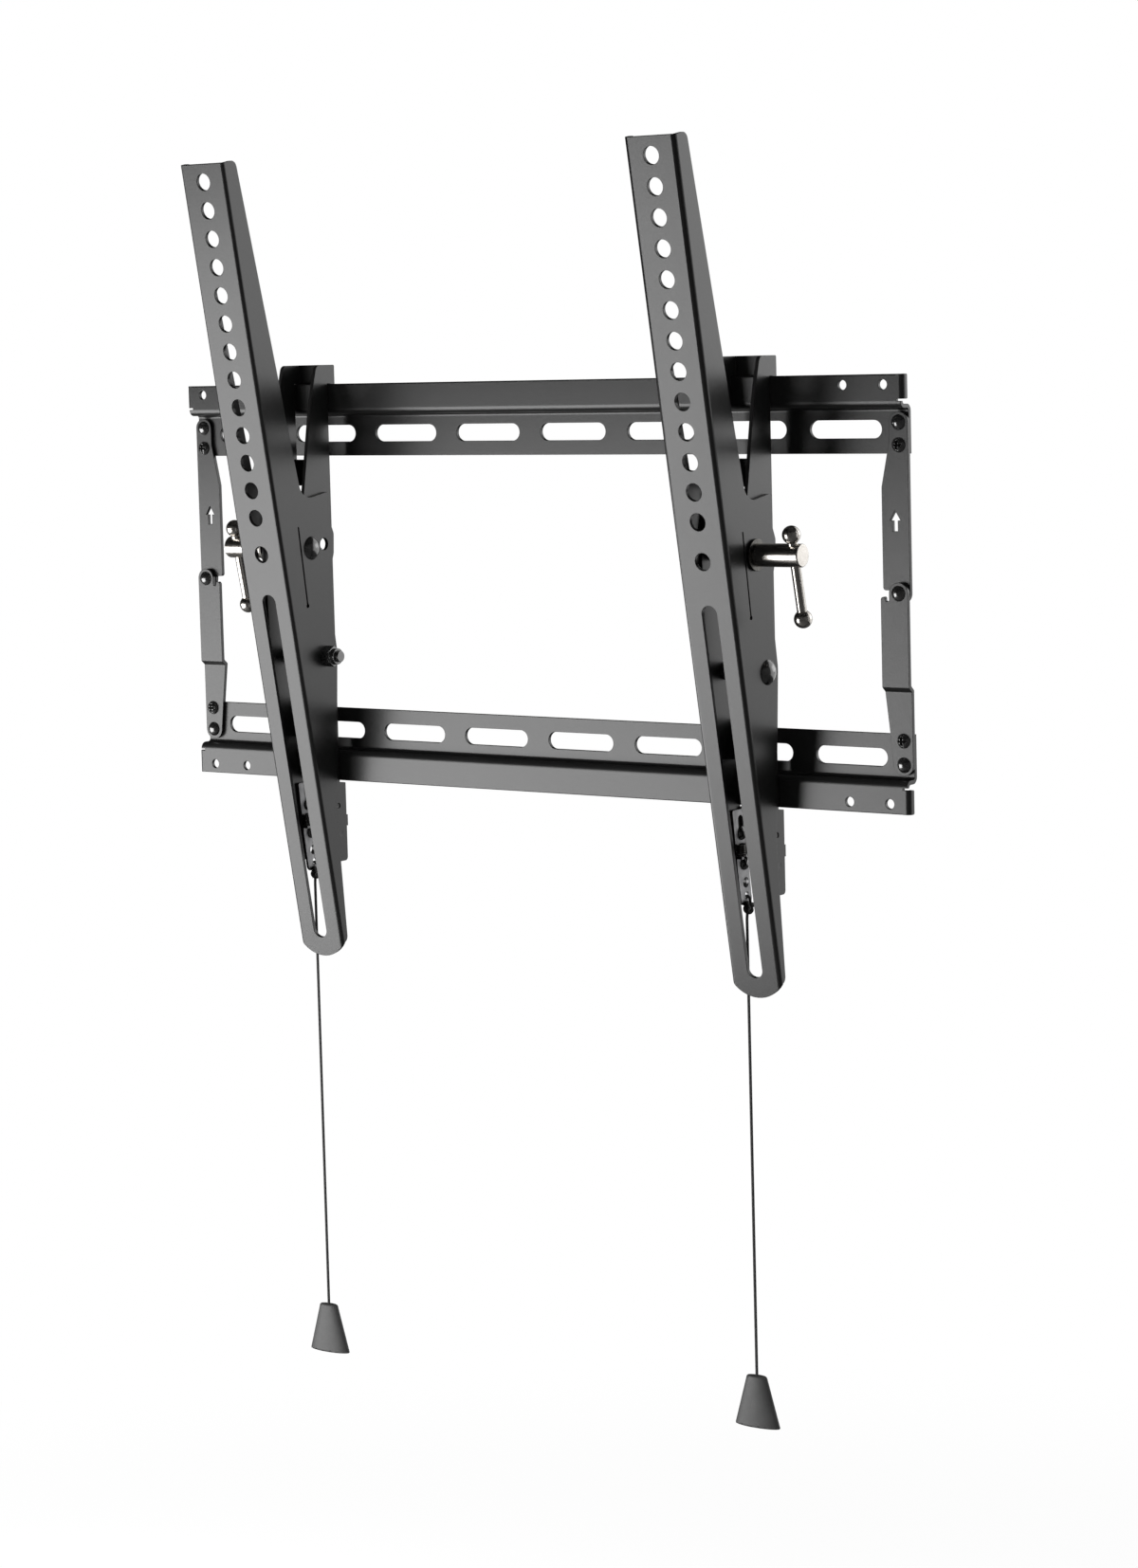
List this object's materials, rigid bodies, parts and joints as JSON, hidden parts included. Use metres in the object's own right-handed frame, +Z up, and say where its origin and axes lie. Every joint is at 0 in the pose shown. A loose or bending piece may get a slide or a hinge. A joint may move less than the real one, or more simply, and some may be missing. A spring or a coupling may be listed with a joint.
{
  "type": "tilting tv wall bracket",
  "caption": "Slotted two-rail wall plate with hooked, tilting screen arms, T-handle tilt locks and pull-cord release latches.",
  "frame": {"origin": "centre of the wall slots' pattern, on the wall face", "axes": "+Y into the wall, +Z up, +X to the right seen from the front"},
  "size_m": [0.46, 0.0926, 0.654],
  "materials": {
    "black_coat": "satin black powder coat on folded steel sheet",
    "black_fixings": "glossy black oxide",
    "nickel": "bright nickel plate",
    "zinc": "bright zinc plate",
    "spring_steel": "dark oiled wire",
    "cord": "black braided cord",
    "black_plastic": "satin black moulding"
  },
  "bodies": {
    "frame": {"top_rail": "black_coat", "bottom_rail": "black_coat", "left_upper_link": "black_coat", "right_upper_link": "black_coat", "left_lower_link": "black_coat", "right_lower_link": "black_coat", "rail_rivets": "black_fixings", "knee_rivets": "black_fixings", "link_lock_screws": "black_fixings"},
    "left_hook": {"left_hook_bracket": "black_coat", "left_pivot_bolt": "black_fixings", "left_pivot_nut": "black_fixings", "left_pivot_spacer": "zinc", "left_latch_rivets": "black_fixings"},
    "left_arm": {"left_arm": "black_coat", "left_clamp_bolt": "black_fixings", "left_clamp_washer": "nickel"},
    "left_boss": {"left_clamp_boss": "nickel"},
    "left_bar": {"left_tommy_bar": "nickel", "left_tommy_balls": "nickel"},
    "left_latch": {"left_latch_plate": "zinc", "left_latch_spring": "spring_steel", "left_cord": "cord", "left_cord_knot": "cord", "left_pull_handle": "black_plastic"},
    "right_hook": {"right_hook_bracket": "black_coat", "right_pivot_bolt": "black_fixings", "right_pivot_nut": "black_fixings", "right_pivot_spacer": "zinc", "right_latch_rivets": "black_fixings"},
    "right_arm": {"right_arm": "black_coat", "right_clamp_bolt": "black_fixings", "right_clamp_washer": "nickel"},
    "right_boss": {"right_clamp_boss": "nickel"},
    "right_bar": {"right_tommy_bar": "nickel", "right_tommy_balls": "nickel"},
    "right_latch": {"right_latch_plate": "zinc", "right_latch_spring": "spring_steel", "right_cord": "cord", "right_cord_knot": "cord", "right_pull_handle": "black_plastic"}
  },
  "joints": [
    {"name": "left_rail_slide", "type": "slide", "parent": "frame", "child": "left_hook", "axis": [-1, 0, 0], "range_m": [-0.09, 0.05]},
    {"name": "left_tilt", "type": "hinge", "parent": "left_hook", "child": "left_arm", "pos_m": [-0.1415, -0.0205, -0.0387], "axis": [1, 0, 0], "range_deg": [-8.5, 0]},
    {"name": "left_clamp_turn", "type": "hinge", "parent": "left_arm", "child": "left_boss", "pos_m": [-0.17095, -0.03, 0.02025], "axis": [1, 0, 0], "range_deg": [-180, 8]},
    {"name": "left_bar_slide", "type": "slide", "parent": "left_boss", "child": "left_bar", "axis": [0, -0.2164, 0.9763], "range_m": [0, 0.022]},
    {"name": "left_latch_slide", "type": "slide", "parent": "left_hook", "child": "left_latch", "axis": [0, 0.1219, -0.9925], "range_m": [0, 0.007], "stiffness_N_per_m": 600, "springref_m": -0.006, "deforming": ["left_latch_spring"]},
    {"name": "right_rail_slide", "type": "slide", "parent": "frame", "child": "right_hook", "axis": [1, 0, 0], "range_m": [-0.09, 0.05]},
    {"name": "right_tilt", "type": "hinge", "parent": "right_hook", "child": "right_arm", "pos_m": [0.1415, -0.0205, -0.0387], "axis": [1, 0, 0], "range_deg": [-8.5, 0]},
    {"name": "right_clamp_turn", "type": "hinge", "parent": "right_arm", "child": "right_boss", "pos_m": [0.17095, -0.03, 0.02025], "axis": [1, 0, 0], "range_deg": [-180, 8]},
    {"name": "right_bar_slide", "type": "slide", "parent": "right_boss", "child": "right_bar", "axis": [0, -0.2164, 0.9763], "range_m": [0, 0.022]},
    {"name": "right_latch_slide", "type": "slide", "parent": "right_hook", "child": "right_latch", "axis": [0, 0.1219, -0.9925], "range_m": [0, 0.007], "stiffness_N_per_m": 600, "springref_m": -0.006, "deforming": ["right_latch_spring"]}
  ]
}
